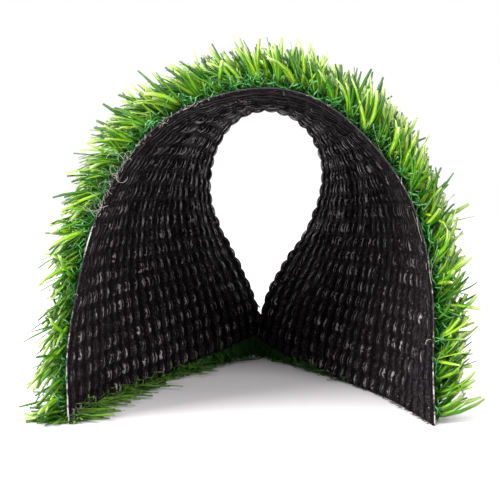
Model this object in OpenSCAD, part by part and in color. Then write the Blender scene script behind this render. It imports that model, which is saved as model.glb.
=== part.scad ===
// A cut sheet of artificial turf, bent into a standing arch whose legs close together at the back.
// The black stitched backing is on the inside and the green pile on the outside.
// +Z is up, the floor is at z = 0, and the wide mouth of the arch faces -Y.

/* [Sheet] */
// Length of the sheet, measured over the arch from one cut edge to the other
sheet_length = 300; // [240:1:400]
// Depth of the sheet, from the front cut edge to the back one
sheet_depth = 210; // [150:1:300]
// Thickness of the backing with its stitches and coating
backing_thickness = 2.6; // [1.5:0.1:4]

/* [Bend] */
// Clear width between the feet at the front
front_span = 128; // [90:1:150]
// Clear width between the feet at the back
back_span = 1.6; // [1:0.1:30]
// Height over which the legs stand side by side at the back
meeting_height = 10; // [0:0.5:25]
// How late the legs close in from the front, where 1 is straight in plan
bow = 1.5; // [1:0.05:2]
// How much rounder the arch is half way to the back than at its ends, in degrees of slope
belly = 6; // [0:0.5:10]
// How far the crown leans to the right at the front
front_lean = 3.5; // [-8:0.5:8]
// How far the crown leans to the right at the back
back_lean = 6; // [-8:0.5:8]

/* [Pile] */
// Depth of the pile over the crown
crown_pile = 10.5; // [8:0.5:25]
// Depth of the pile on the legs
leg_pile = 7; // [5:0.5:20]
// Depth of the pile where it is pressed out at the left foot
left_foot_pile = 8.5; // [6:0.5:25]
// Depth of the pile where its nap rises from the right foot
right_foot_pile = 5; // [4:0.5:15]
// Height of a foot over which the pile changes its depth
foot_height = 18; // [8:1:40]
// Height at which bent blades hold the left cut edge off the floor
left_lift = 3; // [1:0.5:8]

/* [Hidden] */

// Facets along each half of the arch, and from front to back
arch_steps = 28;
depth_steps = 12;

// Slope at the feet: the legs stand plumb on the floor
foot_slope = 90;

// Slopes between which the closing of a section is searched for, and the halvings of that search
least_closing = -60;
most_closing = 80;
search_steps = 30;

// From the crown to the floor, along the right leg and along the lifted left one
right_reach = (sheet_length + left_lift) / 2;
left_reach = right_reach - left_lift;

// Slope of a section at a distance from its crown. It is bent over a length, and plumb below that.
function slope(distance, bent, closing, swell) =
    let (share = min(distance / bent, 1))
    foot_slope * share * (2 - share) + closing * sin(180 * share) - swell * sin(360 * share);

// Sideways run and drop of half a section, from the crown over a reach
function half_section(reach, bent, closing, swell) =
    let (step = reach / arch_steps)
    [
        for (
            i = 0, at = [0, 0];
            i <= arch_steps;
            turn = slope((i + 0.5) * step, bent, closing, swell),
            at = at + step * [cos(turn), sin(turn)],
            i = i + 1
        ) at
    ];

// Closing slope at which a half section comes down at a wanted distance from the centre line
function closing_for(half_span, bent, swell, low = least_closing, high = most_closing, tries = search_steps) =
    let (guess = (low + high) / 2)
    tries == 0 ? guess :
    half_section(right_reach, bent, guess, swell)[arch_steps].x > half_span
        ? closing_for(half_span, bent, swell, guess, high, tries - 1)
        : closing_for(half_span, bent, swell, low, guess, tries - 1);

// One section as [x, z] from the floor at the left, over the crown, to the floor at the right
function section(along) =
    let (
        half_span = (back_span + (front_span - back_span) * (1 - pow(along, bow))) / 2,
        bent = right_reach - meeting_height * along * along,
        swell = 4 * belly * along * (1 - along),
        closing = closing_for(half_span, bent, swell),
        right = half_section(right_reach, bent, closing, swell),
        left = half_section(left_reach, bent, closing, swell),
        top = right[arch_steps].y,
        lean = front_lean + (back_lean - front_lean) * along
    )
    [
        [-left[arch_steps].x, 0],
        [-left[arch_steps].x + lean * left_lift / top, left_lift],
        for (i = [arch_steps - 1:-1:1]) [-left[i].x + lean * (1 - left[i].y / top), top - left[i].y],
        for (i = [0:arch_steps]) [right[i].x + lean * (1 - right[i].y / top), top - right[i].y]
    ];

sections = [for (j = [0:depth_steps]) section(j / depth_steps)];
stations = len(sections[0]);

// Row of points from front to back at one station, each a fixed length of sheet behind the last
function row(i) =
    let (step = sheet_depth / depth_steps)
    [
        for (
            j = 0, y = 0;
            j <= depth_steps;
            move = j < depth_steps ? norm(sections[j + 1][i] - sections[j][i]) : 0,
            y = y + sqrt(max(step * step - move * move, 0)),
            j = j + 1
        ) [sections[j][i].x, y, sections[j][i].y]
    ];

// The inner face of the sheet, as rows from the left foot to the right one
inner_face = [for (i = [0:stations - 1]) row(i)];

// Distance of a station from the crown, to the left below 0, and the pile's depth there
function from_crown(i) =
    i == 0 ? -right_reach :
    i <= arch_steps ? -left_reach * (arch_steps + 1 - i) / arch_steps :
    right_reach * (i - arch_steps - 1) / arch_steps;
function pile_at(distance) =
    let (
        foot_pile = distance < 0 ? left_foot_pile : right_foot_pile,
        above_floor = right_reach - abs(distance)
    )
    leg_pile
    + (crown_pile - leg_pile) * pow(cos(90 * distance / right_reach), 2)
    + (foot_pile - leg_pile) * max(0, 1 - above_floor / foot_height);

// Outward direction of the sheet at a point of the inner face
function outward(i, j) =
    let (
        over = inner_face[min(i + 1, stations - 1)][j] - inner_face[max(i - 1, 0)][j],
        back = inner_face[i][min(j + 1, depth_steps)] - inner_face[i][max(j - 1, 0)],
        normal = cross(over, back)
    )
    normal / norm(normal);

// A point at a distance outside the inner face. The cut edges at the feet stay level.
function outside(i, j, distance) =
    let (
        base = inner_face[i][j],
        point = base + distance * outward(i, j),
        level = i <= 1 || i == stations - 1
    )
    level ? [point.x, point.y, base.z] : point;

backing_outer = [
    for (i = [0:stations - 1]) [for (j = [0:depth_steps]) outside(i, j, backing_thickness)]
];
pile_outer = [
    for (i = [0:stations - 1])
        [for (j = [0:depth_steps]) outside(i, j, backing_thickness + pile_at(from_crown(i)))]
];

// The origin is below the middle of the whole sheet
all_points = [for (face = [inner_face, pile_outer]) for (line = face) for (point = line) point];
all_x = [for (point = all_points) point.x];
all_y = [for (point = all_points) point.y];
middle = [(min(all_x) + max(all_x)) / 2, (min(all_y) + max(all_y)) / 2, 0];

// A quad as two triangles that share its first and third corner
function halves(quad) = [[quad[0], quad[1], quad[2]], [quad[0], quad[2], quad[3]]];

// Closed layer between two faces that have the same rows of points
module layer(inner, outer) {
    rows = len(inner);
    row_points = len(inner[0]);
    outer_start = rows * row_points;
    last = rows - 1;
    end = row_points - 1;
    a = function (i, j) i * row_points + j;
    b = function (i, j) outer_start + a(i, j);
    quads = [
        for (i = [0:last - 1]) for (j = [0:end - 1]) [a(i, j), a(i + 1, j), a(i + 1, j + 1), a(i, j + 1)],
        for (i = [0:last - 1]) for (j = [0:end - 1]) [b(i + 1, j + 1), b(i + 1, j), b(i, j), b(i, j + 1)],
        for (i = [0:last - 1]) [a(i, 0), b(i, 0), b(i + 1, 0), a(i + 1, 0)],
        for (i = [0:last - 1]) [a(i + 1, end), b(i + 1, end), b(i, end), a(i, end)],
        for (j = [0:end - 1]) [a(0, j), a(0, j + 1), b(0, j + 1), b(0, j)],
        for (j = [0:end - 1]) [a(last, j + 1), a(last, j), b(last, j), b(last, j + 1)]
    ];
    polyhedron(
        points = [for (face = [inner, outer]) for (line = face) each line],
        faces = [for (quad = quads) each halves(quad)]
    );
}

// Woven sheet with its rows of stitches under a black coating, cut off at the lifted left edge
module backing() {
    color("#1d1d1f")
        translate(-middle)
            layer(
                [for (i = [1:stations - 1]) inner_face[i]],
                [for (i = [1:stations - 1]) backing_outer[i]]
            );
}

// The space that the tufted blades fill, down to the floor at both feet
module pile() {
    color("#4f9d2c")
        translate(-middle)
            layer(backing_outer, pile_outer);
}

backing();
pile();
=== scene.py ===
import bpy
import numpy as np
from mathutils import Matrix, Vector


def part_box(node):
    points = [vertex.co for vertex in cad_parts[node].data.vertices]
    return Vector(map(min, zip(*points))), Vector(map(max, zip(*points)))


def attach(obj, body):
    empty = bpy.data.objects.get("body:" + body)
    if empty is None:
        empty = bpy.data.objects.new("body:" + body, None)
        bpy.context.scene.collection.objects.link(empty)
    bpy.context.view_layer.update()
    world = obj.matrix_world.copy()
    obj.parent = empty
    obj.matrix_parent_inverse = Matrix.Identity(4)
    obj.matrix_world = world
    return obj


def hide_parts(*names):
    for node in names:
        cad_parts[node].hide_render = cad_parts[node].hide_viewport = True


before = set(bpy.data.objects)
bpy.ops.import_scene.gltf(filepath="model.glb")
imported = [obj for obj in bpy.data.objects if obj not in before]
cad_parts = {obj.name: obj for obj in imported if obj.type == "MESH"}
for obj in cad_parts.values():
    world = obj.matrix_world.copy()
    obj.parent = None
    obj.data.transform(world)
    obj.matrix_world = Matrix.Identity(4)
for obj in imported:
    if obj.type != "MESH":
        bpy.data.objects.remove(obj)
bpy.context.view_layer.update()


# Backing. A woven cloth with a thin black coating on its inner face, cut to 300 by 210 mm.
# It is bent by hand into an arch whose legs stand wide at the front and meet at the back.
# Both cut edges ride up towards the back, the left one on the blades that are bent under it.
sheet_length = 0.300
sheet_depth = 0.210
backing_thickness = 0.0026
cloth_thickness = 0.00045
stitch_rise = 0.0015
coating_thickness = backing_thickness - stitch_rise - cloth_thickness
front_span = 0.128
back_span = -0.0072
meeting_height = 0.0045
bow = 1.5
belly = np.radians(6)
front_lean = 0.0035
back_lean = 0.006
pressed_run = -0.0021
left_rise = 0.0118
left_rise_power = 2
left_lift_share = 0.03
right_rise = 0.011
right_rise_power = 5
reach = 0.1515
arch_steps = 150
depth_steps = 70
closing_search = (-1.0, 1.4)
closing_halvings = 40
wave_height = 0.00022
waves = 7
waves_over = 7
waves_back = 3
coating_dark = (0.0045, 0.003, 0.004, 1)
coating_dust = (0.055, 0.046, 0.05, 1)
cloth_dark = (0.008, 0.026, 0.007, 1)
cloth_pale = (0.025, 0.06, 0.018, 1)
cut_dark = (0.009, 0.007, 0.008, 1)
cut_pale = (0.46, 0.42, 0.4, 1)


def half_sections(along, closing):
    """Sideways run and drop of each half section, from the crown down to the floor."""
    step = reach / arch_steps
    bent = reach - meeting_height * along**2
    share = np.minimum((np.arange(arch_steps) + 0.5) * step / bent[:, None], 1)
    slope = np.pi / 2 * share * (2 - share) + closing[:, None] * np.sin(np.pi * share)
    slope = slope - 4 * belly * (along * (1 - along))[:, None] * np.sin(2 * np.pi * share)
    start = np.zeros((len(along), 1))
    run = np.hstack([start, np.cumsum(np.cos(slope), axis=1) * step])
    drop = np.hstack([start, np.cumsum(np.sin(slope), axis=1) * step])
    return run, drop


def bend_sheet():
    """Points of the inner face, by depth and then along the arch, as the hand-bent sheet stands."""
    along = np.linspace(0, 1, depth_steps + 1)
    half_span = (back_span + (front_span - back_span) * (1 - along**bow)) / 2
    low = np.full(len(along), closing_search[0])
    high = np.full(len(along), closing_search[1])
    for _ in range(closing_halvings):
        closing = (low + high) / 2
        too_wide = half_sections(along, closing)[0][:, -1] > half_span
        low = np.where(too_wide, closing, low)
        high = np.where(too_wide, high, closing)
    run, drop = half_sections(along, closing)
    run = np.maximum(run, pressed_run)
    top = drop[:, -1:]
    height = top - drop
    lean = (front_lean + (back_lean - front_lean) * along)[:, None]
    z = np.hstack([height[:, :0:-1], height])
    x = np.hstack([-run[:, :0:-1], run]) + lean * z / top
    moved = np.diff(x, axis=0) ** 2 + np.diff(z, axis=0) ** 2
    deeper = np.sqrt(np.maximum((sheet_depth / depth_steps) ** 2 - moved, 0))
    y = np.vstack([np.zeros((1, x.shape[1])), np.cumsum(deeper, axis=0)])
    return np.stack([x, y, z], axis=-1)


def unit(vectors):
    return vectors / np.linalg.norm(vectors, axis=-1, keepdims=True)


def hand_waves(random, rows, columns):
    """Slight waves that the hands left in the sheet."""
    over = np.linspace(0, 1, columns)[None, :, None]
    back = np.linspace(0, 1, rows)[:, None, None]
    turns = random.uniform(-waves_over, waves_over, waves) * over
    turns = turns + random.uniform(-waves_back, waves_back, waves) * back
    return wave_height * np.sin(2 * np.pi * (turns + random.random(waves))).sum(axis=2, keepdims=True)


sheet_points = bend_sheet()
sheet_over = unit(np.gradient(sheet_points, axis=1))
sheet_back = unit(np.gradient(sheet_points, axis=0))
sheet_out = unit(np.cross(sheet_over, sheet_back))

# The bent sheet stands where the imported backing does
both_faces = np.stack([sheet_points, sheet_points + backing_thickness * sheet_out]).reshape(-1, 3)
packed_low, packed_high = (np.array(corner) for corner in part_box("backing"))
place = (packed_low + packed_high - both_faces.min(axis=0) - both_faces.max(axis=0)) / 2
place[2] = 0
sheet_points = sheet_points + place
sheet_points = sheet_points + sheet_out * hand_waves(np.random.default_rng(5), *sheet_points.shape[:2])


def at_sheet(table, over, back):
    """A table's value at a distance over the arch, from the crown to the right, and one to the back."""
    i = np.clip((over + reach) / (2 * reach), 0, 1) * (table.shape[1] - 1)
    j = np.clip(back / sheet_depth, 0, 1) * (table.shape[0] - 1)
    i0 = np.minimum(i.astype(int), table.shape[1] - 2)
    j0 = np.minimum(j.astype(int), table.shape[0] - 2)
    u = (i - i0)[..., None]
    w = (j - j0)[..., None]
    near = table[j0, i0] * (1 - u) + table[j0, i0 + 1] * u
    far = table[j0 + 1, i0] * (1 - u) + table[j0 + 1, i0 + 1] * u
    return near * (1 - w) + far * w


def on_sheet(over, back, outward):
    """Points at a distance outside the inner face of the bent sheet."""
    outward = np.asarray(outward, float)[..., None]
    return at_sheet(sheet_points, over, back) + outward * at_sheet(sheet_out, over, back)


def left_edge(back):
    """Distance over the arch of the left cut edge, which rides up towards the back."""
    return left_rise * (left_lift_share + (back / sheet_depth) ** left_rise_power) - reach


def right_edge(back):
    """Distance over the arch of the right cut edge, which leaves the floor near the back."""
    return reach - right_rise * (back / sheet_depth) ** right_rise_power


class Signal:
    """One output of a material's nodes. Arithmetic on signals adds Math nodes."""

    def __init__(self, tree, socket=None):
        self.tree = tree
        self.socket = socket

    def node(self, kind, settings, inputs, output=0):
        made = self.tree.nodes.new(kind)
        for name, value in settings.items():
            setattr(made, name, value)
        for name, value in inputs.items():
            if isinstance(value, Signal):
                self.tree.links.new(value.socket, made.inputs[name])
            else:
                made.inputs[name].default_value = value
        return Signal(self.tree, made.outputs[output])

    def math(self, operation, *values):
        return self.node("ShaderNodeMath", {"operation": operation}, dict(enumerate(values)))

    def __add__(self, other):
        return self.math("ADD", self, other)

    def __sub__(self, other):
        return self.math("SUBTRACT", self, other)

    def __rsub__(self, other):
        return self.math("SUBTRACT", other, self)

    def __mul__(self, other):
        return self.math("MULTIPLY", self, other)

    __radd__ = __add__
    __rmul__ = __mul__

    def attribute(self, name):
        return self.node("ShaderNodeAttribute", {"attribute_name": name}, {}, "Fac")

    def noise(self, scale, detail=3.0, roughness=0.6, place=None):
        if place is None:
            place = self.node("ShaderNodeTexCoord", {}, {}, "Object")
        inputs = {"Vector": place, "Scale": scale, "Detail": detail, "Roughness": roughness}
        return self.node("ShaderNodeTexNoise", {}, inputs)

    def between(self, low, high):
        """0 below low, 1 above high, smooth between."""
        settings = {"interpolation_type": "SMOOTHSTEP", "clamp": True}
        inputs = {"Value": self, 1: low, 2: high, 3: 0.0, 4: 1.0}
        return self.node("ShaderNodeMapRange", settings, inputs)

    def colours(self, first, second):
        """A mix from the first colour to the second, by this signal."""
        return self.node("ShaderNodeMix", {"data_type": "RGBA"}, {0: self, 6: first, 7: second}, 2)

    def bump(self, strength, distance):
        inputs = {"Strength": strength, "Distance": distance, "Height": self}
        return self.node("ShaderNodeBump", {}, inputs)


def finish_named(name):
    """A new material, its signal maker and its main shader."""
    material = bpy.data.materials.new(name)
    material.use_nodes = True
    tree = material.node_tree
    return material, Signal(tree), tree.nodes["Principled BSDF"]


def linked(shader, **signals):
    """Feeds signals to the shader's inputs of the same names."""
    for name, signal in signals.items():
        signal.tree.links.new(signal.socket, shader.inputs[name.replace("_", " ")])


coating, start, shader = finish_named("black_coating")
crumbs = start.noise(1000.0, 4.0, 0.7)
linked(
    shader,
    Base_Color=crumbs.between(0.52, 0.74).colours(coating_dark, coating_dust),
    Roughness=0.5 + 0.3 * crumbs,
    Normal=crumbs.bump(0.6, 0.0005),
)
shader.inputs["Specular IOR Level"].default_value = 0.03

woven_cloth, start, shader = finish_named("woven_cloth")
threads = start.noise(1600.0, 2.0)
linked(
    shader,
    Base_Color=threads.between(0.3, 0.7).colours(cloth_dark, cloth_pale),
    Normal=threads.bump(0.5, 0.0003),
)
shader.inputs["Roughness"].default_value = 0.8

cut_cloth, start, shader = finish_named("cut_cloth")
shreds = start.noise(190.0, 5.0, 0.65)
hairs = start.noise(1500.0, 2.0)
bareness = shreds + 0.25 * hairs + 0.4 * start.attribute("paled")
linked(
    shader,
    Base_Color=bareness.between(0.64, 0.8).colours(cut_dark, cut_pale),
    Normal=hairs.bump(0.6, 0.0004),
)
shader.inputs["Roughness"].default_value = 0.7

# A flat grid is extruded into the coating and the cloth, and its corners are then bent
cells_over = 150
cells_back = 66
edge_wobble = 0.00022
frayed_reach = 0.0035
frayed_swell = 0.0002
paler_feet = 0.35
paler_from = 0.4
bare_place = -0.084
bare_length = 0.006
bare_share = 0.5
above_coating = coating_thickness * 1.01
smooth_angle = 0.7
bpy.ops.object.select_all(action="DESELECT")
bpy.ops.mesh.primitive_grid_add(x_subdivisions=cells_over, y_subdivisions=cells_back, size=1)
backing_sheet = bpy.context.object
backing_sheet.name = "backing_sheet"
for finish in (coating, woven_cloth, cut_cloth):
    backing_sheet.data.materials.append(finish)
bpy.ops.object.mode_set(mode="EDIT")
for layer_thickness in (coating_thickness, cloth_thickness):
    bpy.ops.mesh.extrude_region_move(TRANSFORM_OT_translate={"value": (0, 0, layer_thickness)})
bpy.ops.mesh.select_all(action="SELECT")
bpy.ops.mesh.normals_make_consistent(inside=False)
bpy.ops.object.mode_set(mode="OBJECT")
for face in backing_sheet.data.polygons:
    if face.center.z > above_coating:
        face.material_index = 1 if face.normal.z > 0.5 else 2
flat = np.empty(len(backing_sheet.data.vertices) * 3)
backing_sheet.data.vertices.foreach_get("co", flat)
flat = flat.reshape(-1, 3)
wobble = edge_wobble * np.random.default_rng(6).normal(0, 1, (3, cells_over + 1))
column = np.round((flat[:, 0] + 0.5) * cells_over).astype(int)
line = np.round((flat[:, 1] + 0.5) * cells_back).astype(int)
flat_back = (flat[:, 1] + 0.5) * sheet_depth
flat_back = flat_back + np.where(line == 0, wobble[0, column], 0)
flat_back = flat_back + np.where(line == cells_back, wobble[1, column], 0)
flat_start = left_edge(flat_back)
flat_over = flat_start + (flat[:, 0] + 0.5) * (right_edge(flat_back) - flat_start)
flat_over = flat_over + np.where(column == 0, wobble[2, line], 0)
frayed = np.exp(-(flat_over - flat_start + flat_back) / frayed_reach)
paled = frayed + paler_feet * ((flat_over / reach) ** 2 - paler_from)
paled = paled + bare_share * np.exp(-(((flat_over - bare_place) / bare_length) ** 2))
flat_out = stitch_rise + flat[:, 2] + frayed_swell * frayed * (flat[:, 2] > above_coating)
sheet_corners = on_sheet(flat_over, flat_back, flat_out)
sheet_corners[:, 2] = np.maximum(sheet_corners[:, 2], 0)
backing_sheet.data.vertices.foreach_set("co", sheet_corners.ravel())
backing_sheet.data.attributes.new("paled", "FLOAT", "POINT").data.foreach_set("value", paled)
bpy.ops.object.shade_smooth_by_angle(angle=smooth_angle)
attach(backing_sheet, "root")
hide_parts("backing")


# Stitches. Every needle hole of the tufting machine is joined to the next by a bundle of yarn that
# lies on the inner face of the cloth. The bundles run over the arch in rows from foot to foot,
# and the coating has glued them down and turned them black.
stitch_rows = 24
stitches_in_row = 45
front_inset = 0.0038
back_inset = 0.0016
pitch = sheet_length / stitches_in_row
stitch_half_width = 0.0023
stitch_overlap = 0.0004
stitch_end_width = 0.5
stitch_end_height = 0.1
stitch_bulge = 0.95
stitch_fullness = 0.6
buried_depth = 0.0003
swell_spread = 0.12
rise_spread = 0.16
mean_slant = 0.1
slant_spread = 0.1
sideways_spread = 0.0004
strand_spread = 0.1
lowest_strand = -0.15
strand_places = np.array([-1, -0.92, -0.66, -0.36, 0, 0.36, 0.66, 0.92, 1])
strand_heights = np.array([lowest_strand, 0.45, 0.85, 0.68, 1, 0.68, 0.85, 0.45, lowest_strand])
ring_places = np.array([-1, -0.72, -0.38, 0, 0.38, 0.72, 1])
stitch_random = np.random.default_rng(11)

# Stitches have sunk into the coating at the front of the crown, and carry less painted glint there
sunk_width = 0.1
sunk_depth = 0.06
sunk_share = 0.75

# Painted glints on the stitches: stronger towards the back, weaker on the right leg and most near its
# front, and taken away in the shade at the pinch
front_glint = 0.42
deeper_glint = 0.65
glint_jitter_spread = 0.28
right_fewer_glints = 0.22
mouth_fewer_glints = 0.4
mouth_depth = 0.06
pinch_shade = 0.9
pinch_over = 0.05
pinch_depth = 0.07

# Painted light on the ground of the stitches: lighter on both legs and towards the back, with painted
# shade under the crown
light_places = np.array([-1, -0.5, -0.2, 0.2, 0.45, 0.7, 1])
light_shares = np.array([0.95, 0.85, 0.42, 0.3, 0.45, 0.8, 0.92])
deeper_light = 0.6
yarn_black = (0, 0, 0, 1)
yarn_lit = (0.01, 0.008, 0.009, 1)
yarn_crumbs = (0.1, 0.083, 0.091, 1)
yarn_glint = (0.45, 0.41, 0.425, 1)
fibres_over = 420.0
fibres_back = 900.0
fibres_by_glint = 9.0


def joined_mesh(name, points, faces, values):
    """One object from many copies of a shape: points by copy and corner, the faces of one copy."""
    copies, corners = points.shape[:2]
    offsets = (np.arange(copies) * corners)[:, None]
    sizes = np.tile([len(face) for face in faces], copies)
    loops = (np.concatenate(faces)[None, :] + offsets).ravel()
    mesh = bpy.data.meshes.new(name)
    mesh.vertices.add(copies * corners)
    mesh.vertices.foreach_set("co", points.astype(np.float32).ravel())
    mesh.loops.add(len(loops))
    mesh.loops.foreach_set("vertex_index", loops.astype(np.int32))
    mesh.polygons.add(len(sizes))
    mesh.polygons.foreach_set("loop_start", (np.cumsum(sizes) - sizes).astype(np.int32))
    mesh.update(calc_edges=True)
    mesh.validate()
    for value_name, value in values.items():
        layer = mesh.attributes.new(value_name, "FLOAT", "POINT")
        by_corner = np.broadcast_to(value, (copies, corners))
        layer.data.foreach_set("value", by_corner.astype(np.float32).ravel())
    mesh.shade_smooth()
    made = bpy.data.objects.new(name, mesh)
    bpy.context.scene.collection.objects.link(made)
    return made


def tube_faces(rings, sides):
    """Faces of a closed tube, pointing outwards where its rings run counter-clockwise about its way."""
    faces = []
    for ring_start in range(0, (rings - 1) * sides, sides):
        for k in range(sides):
            this = ring_start + k
            beside = ring_start + (k + 1) % sides
            faces.append([this, beside, beside + sides, this + sides])
    first = list(range(sides))[::-1]
    last = [(rings - 1) * sides + k for k in range(sides)]
    return faces + [first, last]


row_backs = np.linspace(front_inset, sheet_depth - back_inset, stitch_rows)
hole_back, hole_over = np.meshgrid(row_backs, (np.arange(stitches_in_row) + 0.5) / stitches_in_row)
hole_back = hole_back.ravel()
hole_over = left_edge(hole_back) + hole_over.ravel() * (right_edge(hole_back) - left_edge(hole_back))
stitch_count = len(hole_back)
bulge = np.cos(np.pi / 2 * ring_places)
swell = stitch_random.normal(1, swell_spread, (stitch_count, 1, 1))
rise = stitch_random.normal(1, rise_spread, (stitch_count, 1, 1))
sunk = np.exp(-((hole_over / sunk_width) ** 2) - hole_back / sunk_depth)
rise = rise * (1 - sunk_share * sunk)[:, None, None]
slant = stitch_random.normal(mean_slant, slant_spread, (stitch_count, 1, 1))
sideways = stitch_random.normal(0, sideways_spread, (stitch_count, 1, 1))
# Per stitch: the strength of its painted glints and of the painted light on its ground
glint_jitter = stitch_random.normal(0, glint_jitter_spread, stitch_count)
depth_share = hole_back / sheet_depth
fewer_glints = right_fewer_glints * (1 - depth_share) + mouth_fewer_glints * np.exp(-hole_back / mouth_depth)
fewer_glints = (hole_over > 0) * fewer_glints
from_pinch = ((reach - np.abs(hole_over)) / pinch_over) ** 2
from_pinch = from_pinch + ((sheet_depth - hole_back) / pinch_depth) ** 2
glint_places = front_glint + deeper_glint * depth_share - fewer_glints - pinch_shade * np.exp(-from_pinch)
painted_light = np.interp(hole_over / reach, light_places, light_shares) + deeper_light * depth_share**2
half_stitch = pitch / 2 + stitch_overlap
ring_over = (ring_places * half_stitch)[None, :, None]
ring_fullness = stitch_end_width + (1 - stitch_end_width) * np.maximum(bulge, 0) ** stitch_fullness
ring_width = ring_fullness[None, :, None] * stitch_half_width * swell
ring_height = (stitch_end_height + stitch_bulge * bulge)[None, :, None] * stitch_rise * rise
uneven = stitch_random.normal(0, strand_spread, (stitch_count, 1, len(strand_heights)))
strand_rise = np.maximum(strand_heights + uneven, lowest_strand)
top_over = hole_over[:, None, None] + ring_over + 0 * strand_places
middle_back = hole_back[:, None, None] + sideways + slant * ring_over
top_back = middle_back + ring_width * strand_places
buried = np.full(middle_back.shape, -buried_depth)
stitch_over = np.concatenate([top_over, top_over[:, :, :1]], axis=2)
stitch_back = np.clip(np.concatenate([top_back, middle_back], axis=2), 0, sheet_depth)
stitch_over = np.clip(stitch_over, left_edge(stitch_back), right_edge(stitch_back))
stitch_inward = np.concatenate([ring_height * strand_rise, buried], axis=2)
stitch_points = on_sheet(stitch_over, stitch_back, stitch_rise - stitch_inward)
stitch_points[..., 2] = np.maximum(stitch_points[..., 2], 0)
stitches = joined_mesh(
    "stitches",
    stitch_points.reshape(stitch_count, -1, 3),
    tube_faces(len(ring_places), len(strand_places) + 1),
    {
        "over": stitch_over.reshape(stitch_count, -1),
        "back": stitch_back.reshape(stitch_count, -1),
        "ring": np.repeat(ring_places, len(strand_places) + 1),
        "across": np.tile(np.append(strand_places, 0), len(ring_places)),
        "shine": stitch_random.uniform(0.1, 0.8, (stitch_count, 1)),
        "glint_strength": (np.clip(glint_places + glint_jitter, 0, 1) * (1 - sunk))[:, None],
        "painted_light": painted_light[:, None],
    },
)

# A thin bright line along each stitch and scattered flecks are painted glints, and painted light
# lightens the ground of the stitches
coated_yarn, start, shader = finish_named("coated_yarn")
glint_strength = start.attribute("glint_strength")
fibre_inputs = {
    "X": start.attribute("over") * fibres_over,
    "Y": start.attribute("back") * fibres_back,
    "Z": glint_strength * fibres_by_glint,
}
fibres = start.noise(1.0, 3.0, 0.6, start.node("ShaderNodeCombineXYZ", {}, fibre_inputs))
crumbs = start.noise(1400.0, 4.0, 0.7)
ring = start.attribute("ring")
off_line = start.math("ABSOLUTE", start.attribute("across")) - start.attribute("shine")
off_line = off_line + 1.6 * (fibres - 0.5)
on_line = 1.0 - (off_line * off_line).between(0.002, 0.026)
glint_flecks = start.noise(750.0, 3.0, 0.6).between(0.69, 0.74)
painted_glints = on_line * (1.0 - ring * ring).between(0.58, 0.95) * glint_strength + glint_flecks
light_share = start.attribute("painted_light")
black = light_share.colours(yarn_black, yarn_lit)
ground = (crumbs.between(0.5, 0.74) * light_share).colours(black, yarn_crumbs)
linked(
    shader,
    Base_Color=painted_glints.colours(ground, yarn_glint),
    Roughness=0.5 - 0.25 * painted_glints,
    Coat_Weight=0.7 * painted_glints,
    Normal=(0.4 * fibres + 0.7 * crumbs).bump(0.9, 0.0005),
)
shader.inputs["Specular IOR Level"].default_value = 0.035
shader.inputs["Coat Roughness"].default_value = 0.2
stitches.data.materials.append(coated_yarn)
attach(stitches, "root")
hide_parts("backing")


# Blades. Straight flat yarn in two greens, tufted through the cloth at every needle hole and cut
# about 18 mm long. All of it leans towards the left foot, because the sheet was once rolled up.
# Each blade is a thin ribbon with a crease along its middle.
blade_length = 0.0178
mean_length_share = 0.98
length_spread = 0.12
length_shares = (0.55, 1.25)
blade_crease = 0.00024
crease_shares = (0.5, 1.2)
width_shares = (0.75, 1.25)
blade_rings = np.array([0, 0.22, 0.5, 0.8, 1.0])
blade_taper = np.array([0.62, 0.95, 1.0, 0.92, 0.6])
blades_in_tuft = 7
lime_half_width = 0.00078
field_half_width = 0.00058
tuft_spread = 0.0007
root_depth = 0.0004
depth_inset = 0.0006
edge_inset = 0.0008

# The nap: how far blades lean along the arch, and how far tufts and single blades differ from it
nap_places = np.array([-1, -0.8, -0.62, -0.42, -0.15, 0.15, 0.45, 0.65, 0.85, 1.0])
nap_leans = np.radians([58, 61, 64, 52, 35, 34, 53, 63, 50, 57])
steepest_lean = np.radians(82)
start_share = 0.6
end_share = 1.3
tuft_lean_spread = np.radians(9)
start_lean_spread = np.radians(9)
end_lean_spread = np.radians(17)
tuft_aside_spread = np.radians(20)
aside_spread = np.radians(30)
stray_share = 0.08
tip_spread = 0.16
edge_splay = 0.32
edge_zone = 0.012
edge_on_places = np.array([-1, -0.4, -0.1, 1])
edge_on_turns = np.radians([20, 30, 70, 70])
spin_spread = 0.55
twist_spread = np.radians(45)

# Blades near the right foot rise, and none goes through the floor
rising_from = 0.86 * reach
most_aside = 0.9
floor_clearance = 0.0006
lowest_corner = 0.0001
level_only = np.array([1, 1, 0])
never_zero = 1e-9


def grow(roots, first_way, last_way, lengths, places):
    """Paths that start at the roots and turn from one way to the other. The floor bends them level."""
    paths = [roots]
    for before, after in zip(places[:-1], places[1:]):
        share = (before + after) / 2
        way = unit(first_way * (1 - share) + last_way * share)
        step = way * ((after - before) * lengths)[:, None]
        ends = paths[-1] + step
        low = ends[:, 2] < floor_clearance
        level = unit(step * level_only + never_zero) * np.linalg.norm(step, axis=1, keepdims=True)
        ends = np.where(low[:, None], paths[-1] + level, ends)
        ends[:, 2] = np.maximum(ends[:, 2], floor_clearance)
        paths.append(ends)
    return np.stack(paths, axis=1)


def ribbons(paths, width_ways, half_widths, creases, taper, twists):
    """Corners of creased ribbons along paths, three to a ring, by ribbon and corner."""
    ways = unit(np.gradient(paths, axis=1))
    wide_way = width_ways[:, None]
    across = unit(wide_way - ways * np.sum(ways * wide_way, axis=2, keepdims=True))
    thick = np.cross(ways, across)
    turn = (twists[:, None] * np.linspace(0, 1, paths.shape[1]))[..., None]
    side = across * np.cos(turn) + thick * np.sin(turn)
    face = thick * np.cos(turn) - across * np.sin(turn)
    wide = (half_widths[:, None] * taper)[..., None] * side
    deep = (creases[:, None] * taper)[..., None] * face
    corners = np.stack([paths + wide, paths + deep, paths - wide], axis=2)
    corners[..., 2] = np.maximum(corners[..., 2], lowest_corner)
    return corners.reshape(len(paths), -1, 3)


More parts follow.
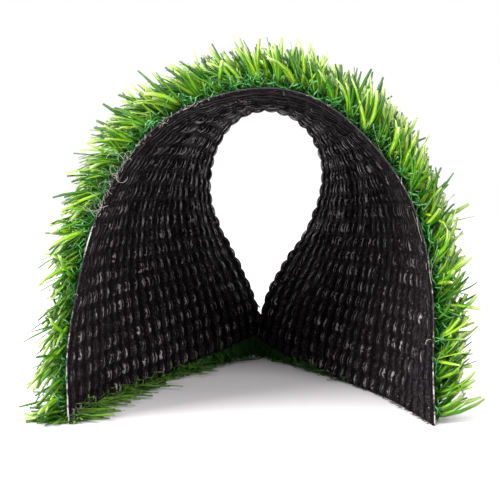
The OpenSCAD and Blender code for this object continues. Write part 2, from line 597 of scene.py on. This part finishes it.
def tuft_roots(random, copies, spread, holes=slice(None)):
    """Places over and back on the sheet of yarn ends, some to each needle hole."""
    over = np.repeat(hole_over[holes], copies)
    back = np.repeat(hole_back[holes], copies)
    over = over + random.normal(0, spread, len(over))
    back = back + random.normal(0, spread, len(back))
    back = np.clip(back, depth_inset, sheet_depth - depth_inset)
    return np.clip(over, left_edge(back) + edge_inset, right_edge(back) - edge_inset), back


def sheet_axes(over, back):
    """Outward way, way of the nap and way to the back at places on the sheet."""
    out = at_sheet(sheet_out, over, back)
    nap = -at_sheet(sheet_over, over, back)
    rear = at_sheet(sheet_back, over, back)
    return out, nap, rear


def leaning(out, nap, rear, lean, aside):
    """A way that leans from the outward one, turned aside from the nap towards the back."""
    level = nap * np.cos(aside)[:, None] + rear * np.sin(aside)[:, None]
    return out * np.cos(lean)[:, None] + level * np.sin(lean)[:, None]


def blade_bundle(seed, copies, half_width):
    """Corners and random tones of the blades of one colour over the whole sheet."""
    random = np.random.default_rng(seed)
    over, back = tuft_roots(random, copies, tuft_spread)
    count = len(over)
    out, nap, rear = sheet_axes(over, back)
    tuft_lean = np.repeat(random.normal(0, tuft_lean_spread, stitch_count), copies)
    tuft_aside = np.repeat(random.normal(0, tuft_aside_spread, stitch_count), copies)
    mean_lean = np.interp(over / reach, nap_places, nap_leans) + tuft_lean
    start_lean = mean_lean * start_share + random.normal(0, start_lean_spread, count)
    end_lean = mean_lean * end_share + random.normal(0, end_lean_spread, count)
    end_lean = np.minimum(end_lean, steepest_lean)
    aside = tuft_aside + random.normal(0, aside_spread, count)
    stray = random.random(count) < stray_share
    aside = np.where(stray, random.uniform(-np.pi, np.pi, count), aside)
    aside = np.where(over > rising_from, np.clip(aside, -most_aside, most_aside), aside)
    to_front = np.clip(1 - back / edge_zone, 0, 1)
    to_back = np.clip(1 - (sheet_depth - back) / edge_zone, 0, 1)
    splay = ((to_back - to_front) * edge_splay * random.uniform(0, 1, count))[:, None] * rear
    first = unit(leaning(out, nap, rear, start_lean, aside) + splay)
    last = leaning(out, nap, rear, end_lean, aside) + splay
    last = unit(last + random.normal(0, tip_spread, (count, 3)))
    lengths = np.clip(random.normal(mean_length_share, length_spread, count), *length_shares)
    roots = on_sheet(over, back, np.full(count, backing_thickness - root_depth))
    paths = grow(roots, first, last, blade_length * lengths, blade_rings)
    spin = np.interp(over / reach, edge_on_places, edge_on_turns)
    spin = spin + random.normal(0, spin_spread, count)
    spin = (spin * random.choice([-1, 1], count))[:, None]
    corners = ribbons(
        paths,
        rear * np.cos(spin) + nap * np.sin(spin),
        half_width * random.uniform(*width_shares, count),
        blade_crease * random.uniform(*crease_shares, count),
        blade_taper,
        random.normal(0, twist_spread, count),
    )
    return corners, random.random((count, 1))


def blade_finish(name, root, body, other_body, tip, glow):
    """Satin plastic yarn that lets some light through, with painted shade at the root and a tip colour.
    """
    material, start, shader = finish_named(name)
    along = start.attribute("along")
    tone = start.attribute("tone")
    streaks = start.noise(700.0, 2.0)
    colour = (tone + 0.3 * streaks - 0.15).between(0.1, 0.9).colours(body, other_body)
    # Painted shade darkens the colour towards the root, and the tip colour is mixed in towards the tip
    colour = along.between(0.0, 0.45).colours(root, colour)
    colour = along.between(0.6, 1.05).colours(colour, tip)
    linked(shader, Base_Color=colour, Roughness=0.2 + 0.2 * streaks)
    shader.inputs["Specular IOR Level"].default_value = 0.45
    through = start.node("ShaderNodeBsdfTranslucent", {}, {"Color": glow})
    main = Signal(start.tree, shader.outputs["BSDF"])
    both = start.node("ShaderNodeMixShader", {}, {0: 0.35, 1: main, 2: through})
    start.tree.links.new(both.socket, start.tree.nodes["Material Output"].inputs["Surface"])
    return material


def pile_piece(name, bundle, rings, material):
    """A piece of the pile from a bundle of ribbons, given by their corners and their tones."""
    corners, tones = bundle
    values = {"along": np.repeat(rings, 3), "tone": tones}
    piece = joined_mesh(name, corners, tube_faces(len(rings), 3), values)
    piece.data.materials.append(material)
    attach(piece, "root")
    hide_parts("pile")


# The pale tip colour of the lime yarn is painted light, as if light shone through the tips
lime_yarn = blade_finish(
    "lime_yarn",
    root=(0.02, 0.085, 0.003, 1),
    body=(0.1, 0.36, 0.008, 1),
    other_body=(0.38, 0.63, 0.035, 1),
    tip=(0.64, 0.74, 0.3, 1),
    glow=(0.45, 0.76, 0.03, 1),
)
field_yarn = blade_finish(
    "field_yarn",
    root=(0.006, 0.04, 0.002, 1),
    body=(0.018, 0.13, 0.004, 1),
    other_body=(0.11, 0.32, 0.01, 1),
    tip=(0.1, 0.17, 0.07, 1),
    glow=(0.13, 0.46, 0.015, 1),
)
lime_bundle = blade_bundle(21, blades_in_tuft, lime_half_width)
field_bundle = blade_bundle(22, blades_in_tuft, field_half_width)
pile_piece("lime_blades", lime_bundle, blade_rings, lime_yarn)
pile_piece("field_blades", field_bundle, blade_rings, field_yarn)


# Thatch. Thin crimped yarn, tufted through the same needle holes as the blades. It curls up close to
# the cloth and holds the blades upright, and its loops fill the roots of the pile. More of them show
# in the first row, where the front edge was cut.
curl_half_width = 0.00026
curl_crease = 0.00016
curl_size_shares = (0.7, 1.2)
curl_rings = np.linspace(0, 1, 8)
curl_spread = 0.0018
curl_radii = (0.0010, 0.0023)
curl_turns = (0.45, 1.1)
curl_lean = np.radians(35)
curl_lean_spread = np.radians(20)
curl_most_aside = 1.4
curl_side_spread = 0.3
curl_opening = 4
curl_clearance = 0.0004
edge_curl_zone = 0.015
edge_curl_share = 0.35
curls_in_tuft = 2
curls_in_first_row = 14


def curl_bundle(seed, lowest, highest, copies=curls_in_tuft, holes=slice(None)):
    """Corners and random tones of some of the curls."""
    random = np.random.default_rng(seed)
    over, back = tuft_roots(random, copies, curl_spread, holes)
    count = len(over)
    out, nap, rear = sheet_axes(over, back)
    lean = random.normal(curl_lean, curl_lean_spread, count)
    aside = random.uniform(-curl_most_aside, curl_most_aside, count)
    axis = leaning(out, nap, rear, lean, aside)
    side = unit(np.cross(axis, rear + curl_side_spread * random.normal(0, 1, (count, 3))))
    other = np.cross(axis, side)
    from_edge = np.minimum(over - left_edge(back), right_edge(back) - over)
    height = random.uniform(lowest, highest, count)
    height = height * np.interp(from_edge, [0, edge_curl_zone], [edge_curl_share, 1])
    height = height[:, None, None]
    radius = random.uniform(*curl_radii, count)[:, None]
    turns = random.uniform(*curl_turns, count)[:, None] * 2 * np.pi
    turns = turns * random.choice([-1, 1], count)[:, None]
    phase = turns * curl_rings + random.uniform(0, 2 * np.pi, count)[:, None]
    opened = radius * np.minimum(curl_rings * curl_opening, 1)
    roots = on_sheet(over, back, np.full(count, backing_thickness - root_depth))[:, None]
    paths = roots + axis[:, None] * height * curl_rings[:, None]
    paths = paths + side[:, None] * (opened * np.cos(phase))[..., None]
    paths = paths + other[:, None] * (opened * np.sin(phase))[..., None]
    depth_out = np.sum((paths - roots) * out[:, None], axis=2, keepdims=True)
    lacking = np.maximum(curl_clearance - depth_out, 0)
    paths = paths + out[:, None] * lacking * (curl_rings > 0)[:, None]
    dipping = paths[:, :, 2].min(axis=1, keepdims=True) < floor_clearance
    risen = roots[:, :, 2] + np.abs(paths[:, :, 2] - roots[:, :, 2])
    paths[:, :, 2] = np.maximum(np.where(dipping, risen, paths[:, :, 2]), floor_clearance)
    corners = ribbons(
        paths,
        axis,
        curl_half_width * random.uniform(*curl_size_shares, count),
        curl_crease * random.uniform(*curl_size_shares, count),
        np.ones(len(curl_rings)),
        np.zeros(count),
    )
    return corners, random.random((count, 1))


# The light tip colour of the thatch yarn is a painted highlight
emerald_yarn = blade_finish(
    "emerald_yarn",
    root=(0.006, 0.06, 0.006, 1),
    body=(0.012, 0.15, 0.012, 1),
    other_body=(0.06, 0.31, 0.05, 1),
    tip=(0.2, 0.5, 0.2, 1),
    glow=(0.06, 0.42, 0.04, 1),
)
first_row = hole_back < row_backs[1]
thatch_bundles = {
    "thatch_low": curl_bundle(31, 0.003, 0.007),
    "thatch_middle": curl_bundle(32, 0.004, 0.009),
    "thatch_high": curl_bundle(33, 0.006, 0.012),
    "thatch_front": curl_bundle(34, 0.003, 0.008, curls_in_first_row, first_row),
}
for name, bundle in thatch_bundles.items():
    pile_piece(name, bundle, curl_rings, emerald_yarn)


# Hanging blades. Blades of the lowest tufts hang below the lifted cut edges down to the floor. Some
# are caught there by the weight of the sheet and lie on the floor, pointing into the arch, and at
# the front of the left edge a fringe of them is bent under it.
hanging_rings = np.array([0, 0.25, 0.45, 0.6, 0.8])
hanging_taper = np.array([0.7, 1.0, 1.0, 0.9, 0.5])
hanging_half_widths = (0.0003, 0.0008)
hanging_crease = 0.0002
hanging_root_depth = 0.0003
hanging_insets = (0.0004, 0.005)
hanging_width_spread = 0.5
hanging_twist_spread = 0.5
row_spread = 0.0019
rim_depths = (0.0018, 0.0045)
mean_inward = -0.1
inward_spread = 1.0
inward_bias = 0.6
foot_swing = 0.0022
foot_spread = 0.002
foot_height_shares = (-0.4, 0.45)
middle_spread = 0.0011
mean_lift = 0.0012

# Caught blades lie in clumps, one to a row of tufts. A law is given as the shape and scale of a gamma
clump_reach_law = (1.6, 0.6)
mean_clump_turn = -0.5
clump_turn_spread = 0.6
caught_law = (2.2, 0.45)
loose_length = 0.002
longest_caught = 0.015
lying_spread = 1.2
shelter_places = np.array([0, 0.4, 0.75, 1.0])
reach_shares = np.array([1.15, 1.0, 0.5, 0.3])
# Blades lying into the arch take darker tones towards the back, as painted shade
shade_tone_shares = np.array([1.0, 0.8, 0.4, 0.15])


def hanging_bundle(seed, count, edge_at, side, rows, evenness, caught_share, caught_length):
    """Corners and random tones of the blades below one cut edge, in some rows of tufts."""
    random = np.random.default_rng(seed)
    picks = (len(rows) * random.random(count) ** evenness).astype(int)
    back = rows[picks] + random.normal(0, row_spread, count)
    back = np.clip(back, depth_inset, sheet_depth - depth_inset)
    edge = edge_at(back)
    over = edge - side * random.uniform(*hanging_insets, count)
    out, nap, rear = sheet_axes(over, back)
    roots = on_sheet(over, back, np.full(count, backing_thickness - hanging_root_depth))
    rims = on_sheet(edge, back, random.uniform(*rim_depths, count))
    inward = random.normal(mean_inward, inward_spread, count)
    feet = rims - out * (foot_swing * inward)[:, None]
    feet = feet + rear * random.normal(0, foot_spread, count)[:, None]
    foot_heights = rims[:, 2] * random.uniform(*foot_height_shares, count)
    feet[:, 2] = np.maximum(foot_heights, floor_clearance)
    clump_reach = random.gamma(*clump_reach_law, len(rows))[picks]
    clump_turn = random.normal(mean_clump_turn, clump_turn_spread, len(rows))[picks]
    is_caught = random.random(count) < caught_share
    caught = np.where(is_caught, caught_length * random.gamma(*caught_law, count), loose_length)
    caught = caught * clump_reach * np.interp(back / sheet_depth, shelter_places, reach_shares)
    caught = np.minimum(caught, longest_caught)
    feet[:, 2] = feet[:, 2] + is_caught * random.exponential(mean_lift, count)
    turned = (clump_turn + random.normal(0, lying_spread, count))[:, None]
    lying = unit((rear * np.sin(turned) - out * np.cos(turned)) * level_only)
    ends = feet + lying * (caught * np.sign(inward + inward_bias))[:, None]
    ends[:, 2] = ends[:, 2] + random.exponential(mean_lift, count)
    middles = (rims + feet) / 2 + random.normal(0, middle_spread, (count, 3))
    for points in (rims, middles, ends):
        points[:, 2] = np.maximum(points[:, 2], floor_clearance)
    corners = ribbons(
        np.stack([roots, rims, middles, feet, ends], axis=1),
        unit(rear + random.normal(0, hanging_width_spread, (count, 3))),
        random.uniform(*hanging_half_widths, count),
        np.full(count, hanging_crease),
        hanging_taper,
        random.normal(0, hanging_twist_spread, count),
    )
    # Painted shade: blades lying into the arch are darker towards its back
    shaded = np.interp(back / sheet_depth, shelter_places, shade_tone_shares)
    tones = random.random(count) * np.where(inward + inward_bias > 0, shaded, 1)
    return corners, tones[:, None]


mixed_yarn = blade_finish(
    "mixed_yarn",
    root=(0.01, 0.06, 0.01, 1),
    body=(0.02, 0.12, 0.012, 1),
    other_body=(0.28, 0.55, 0.04, 1),
    tip=(0.2, 0.38, 0.07, 1),
    glow=(0.08, 0.26, 0.03, 1),
)

# Seed, number of blades, cut edge and its side, rows of tufts, evenness, share and length caught
hanging_kinds = {
    "left_hanging": (41, 1400, left_edge, -1, row_backs, 1.0, 0.5, 0.007),
    "right_hanging": (42, 700, right_edge, 1, row_backs[9:], 0.45, 0.3, 0.005),
    "bent_under": (43, 300, left_edge, -1, row_backs[:15], 1.0, 1.0, 0.009),
}
for name, kind in hanging_kinds.items():
    pile_piece(name, hanging_bundle(*kind), hanging_rings, mixed_yarn)


# Frayed threads. Where the sheet was cut, loose threads of the woven cloth stand off its front and
# back edges: short hooks all round, curled loops and shreds on the left, and thin wisps on the right.
thread_rings = np.linspace(0, 1, 13)
thread_half_widths = (0.00007, 0.00015)
thread_crease = 0.0001
thread_inset = 0.0003
back_share = 0.4
right_share = 0.5
curled_in_share = 0.2
mean_curl_share = 0.8
curl_share_spread = 0.25
wriggle_spread = 0.15
wriggle_rate = 7
thread_dark = (0.15, 0.16, 0.11, 1)
thread_pale = (0.5, 0.48, 0.42, 1)

# Number, limits over the arch and of length, curl, spread of the first way, limits of its forward part
thread_kinds = {
    "hooks": (18, (-0.14, 0.14), (0.001, 0.0035), 4.0, 2.0, (-0.1, 0.4)),
    "loops": (16, (-0.074, -0.05), (0.006, 0.011), 5.5, 0.5, (0.3, 0.8)),
    "shreds": (120, (-0.078, -0.02), (0.0008, 0.0024), 1.0, 0.5, (0.2, 0.7)),
    "wisps": (9, (0.05, 0.1), (0.005, 0.012), 0.4, 0.2, (0.0, 0.15)),
}
kind_columns = zip(*thread_kinds.values())
counts, over_limits, length_limits, kind_curls, first_spreads, forward_limits = kind_columns
thread_count = sum(counts)
random = np.random.default_rng(51)


def by_thread(limits):
    """A random value for every thread, between the limits of its kind."""
    low, high = np.repeat(limits, counts, axis=0).T
    return random.uniform(low, high)


hooks = np.arange(thread_count) < counts[0]
at_back = hooks & (random.random(thread_count) < back_share)
over = by_thread(over_limits)
back = np.where(at_back, sheet_depth - thread_inset, thread_inset)
out, nap, rear = sheet_axes(over, back)
ahead = np.where(at_back, 1, -1)[:, None] * rear
roots = on_sheet(over, back, random.uniform(stitch_rise, backing_thickness, thread_count))
step_lengths = by_thread(length_limits) / (len(thread_rings) - 1)
begin = np.repeat(first_spreads, counts) * random.normal(0, 1, thread_count)
to_right = random.random(thread_count) < right_share
begin = begin + np.pi * to_right
curled_in = random.random(thread_count) < curled_in_share
curl = np.repeat(kind_curls, counts) * random.normal(mean_curl_share, curl_share_spread, thread_count)
curl = curl * np.where(to_right ^ curled_in, -1, 1)
wriggle = curl * random.normal(0, wriggle_spread, thread_count)
forward = by_thread(forward_limits)[:, None]
paths = [roots]
for step_middle in (thread_rings[:-1] + thread_rings[1:]) / 2:
    turn = (begin + curl * step_middle + wriggle * np.sin(wriggle_rate * step_middle))[:, None]
    way = unit(nap * np.cos(turn) + out * np.sin(turn) + ahead * forward * (1 - step_middle))
    paths.append(paths[-1] + way * step_lengths[:, None])
paths = np.stack(paths, axis=1)
paths[:, :, 2] = np.maximum(paths[:, :, 2], floor_clearance)
corners = ribbons(
    paths,
    ahead,
    random.uniform(*thread_half_widths, thread_count),
    np.full(thread_count, thread_crease),
    np.ones(len(thread_rings)),
    np.zeros(thread_count),
)
thread_tones = {"tone": random.random((thread_count, 1))}
frayed_threads = joined_mesh("frayed_threads", corners, tube_faces(len(thread_rings), 3), thread_tones)
pale_thread, start, shader = finish_named("pale_thread")
fuzz = start.noise(1800.0, 2.0)
linked(
    shader,
    Base_Color=start.attribute("tone").between(0.0, 0.8).colours(thread_dark, thread_pale),
    Roughness=0.4 + 0.3 * fuzz,
)
frayed_threads.data.materials.append(pale_thread)
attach(frayed_threads, "root")
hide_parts("backing")


# Foot shreds. Short black shreds of coated cloth along the lower edge of the right leg, where the
# sheet was cut. They still hang on the cloth and reach inwards and down to the floor.
shred_count = 150
shred_places = np.array([0, 0.5, 1.0])
shred_taper = np.array([1, 1, 0.6])
shred_half_widths = (0.0001, 0.0004)
shred_crease = 0.0001
shred_lengths = (0.0008, 0.0028)
shred_backs = (0, 0.125)
shred_insets = (0, 0.0012)
shred_depths = (0, 0.001)
shred_rear_spread = 0.7
shred_inward = (0.2, 1)
shred_down = (0, 0.6)
shred_bend = 0.6
shred_dark = (0.008, 0.008, 0.007, 1)
shred_green = (0.1, 0.12, 0.06, 1)
back = random.uniform(*shred_backs, shred_count)
over = right_edge(back) - random.uniform(*shred_insets, shred_count)
out, nap, rear = sheet_axes(over, back)
roots = on_sheet(over, back, random.uniform(*shred_depths, shred_count))
first = rear * random.normal(0, shred_rear_spread, (shred_count, 1))
first = first - out * random.uniform(*shred_inward, (shred_count, 1))
first = first - nap * random.uniform(*shred_down, (shred_count, 1))
last = first + random.normal(0, shred_bend, (shred_count, 3))
lengths = random.uniform(*shred_lengths, shred_count)
corners = ribbons(
    grow(roots, unit(first), unit(last), lengths, shred_places),
    rear,
    random.uniform(*shred_half_widths, shred_count),
    np.full(shred_count, shred_crease),
    shred_taper,
    np.zeros(shred_count),
)
shred_tones = {"tone": random.random((shred_count, 1))}
foot_shreds = joined_mesh("foot_shreds", corners, tube_faces(len(shred_places), 3), shred_tones)
black_shred, start, shader = finish_named("black_shred")
fuzz = start.noise(1800.0, 2.0)
greener = (start.attribute("tone") + 0.3 * fuzz).between(0.7, 1.2)
linked(
    shader,
    Base_Color=greener.colours(shred_dark, shred_green),
    Roughness=0.5 + 0.3 * fuzz,
)
foot_shreds.data.materials.append(black_shred)
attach(foot_shreds, "root")
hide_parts("backing")


# Floor, light and camera. A pale floor under a soft overhead light, with a dim horizon in front and a
# bright one behind. A wide lamp stands at the left and a small one near the camera, which stands low
# in front of the wide mouth of the arch.
floor_size = 12
floor_pale = (0.885, 0.855, 0.87, 1)
front_horizon = (0.15, 0.15, 0.155, 1)
back_horizon = (1.4, 1.4, 1.42, 1)
overhead = (1.52, 1.51, 1.53, 1)
white = (1, 1, 1, 1)
lamp_target = np.array([0, 0, 0.07])
camera_place = np.array([0.00897, -0.42914, 0.08069])
camera_pitch = 2.279
camera_turn = 1.189
bpy.ops.object.select_all(action="DESELECT")
bpy.ops.mesh.primitive_plane_add(size=floor_size, location=(0, 0, 0))
floor = bpy.context.object
floor.name = "floor"
pale_floor, start, shader = finish_named("pale_floor")
shader.inputs["Base Color"].default_value = floor_pale
shader.inputs["Roughness"].default_value = 0.9
shader.inputs["Specular IOR Level"].default_value = 0.1
floor.data.materials.append(pale_floor)

world = bpy.data.worlds.new("studio")
world.use_nodes = True
bpy.context.scene.world = world
start = Signal(world.node_tree)
sky_way = start.node("ShaderNodeTexCoord", {}, {}, "Generated")
height = start.node("ShaderNodeSeparateXYZ", {}, {0: sky_way}, "Z")
behind = start.node("ShaderNodeSeparateXYZ", {}, {0: sky_way}, "Y")
horizon = behind.between(-0.2, 0.8).colours(front_horizon, back_horizon)
dome = height.between(0.0, 0.65).colours(horizon, overhead)
seen = start.node("ShaderNodeLightPath", {}, {}, "Is Camera Ray")
backdrop = seen.colours(dome, white)
world.node_tree.links.new(backdrop.socket, world.node_tree.nodes["Background"].inputs["Color"])


def add_lamp(name, location, size, energy):
    """A soft square lamp that faces the middle of the arch."""
    bpy.ops.object.light_add(type="AREA", location=location)
    lamp = bpy.context.object
    lamp.name = name
    lamp.data.size = size
    lamp.data.energy = energy
    way = lamp_target - np.array(location)
    tilt = np.arctan2(np.hypot(way[0], way[1]), -way[2])
    lamp.rotation_euler = (tilt, 0, np.arctan2(-way[0], way[1]))


add_lamp("window_lamp", (-1.25, -0.85, 0.9), 1.1, 50)
add_lamp("front_lamp", (0.15, -1.05, 0.85), 0.3, 8)
bpy.context.scene.view_settings.view_transform = "Standard"

camera_data = bpy.data.cameras.new("camera")
camera_data.sensor_width = 36
camera_data.lens = 85.77
camera = bpy.data.objects.new("camera", camera_data)
camera.location = place + camera_place
camera.rotation_euler = (np.radians(90 - camera_pitch), 0, np.radians(camera_turn))
bpy.context.scene.collection.objects.link(camera)
bpy.context.scene.camera = camera
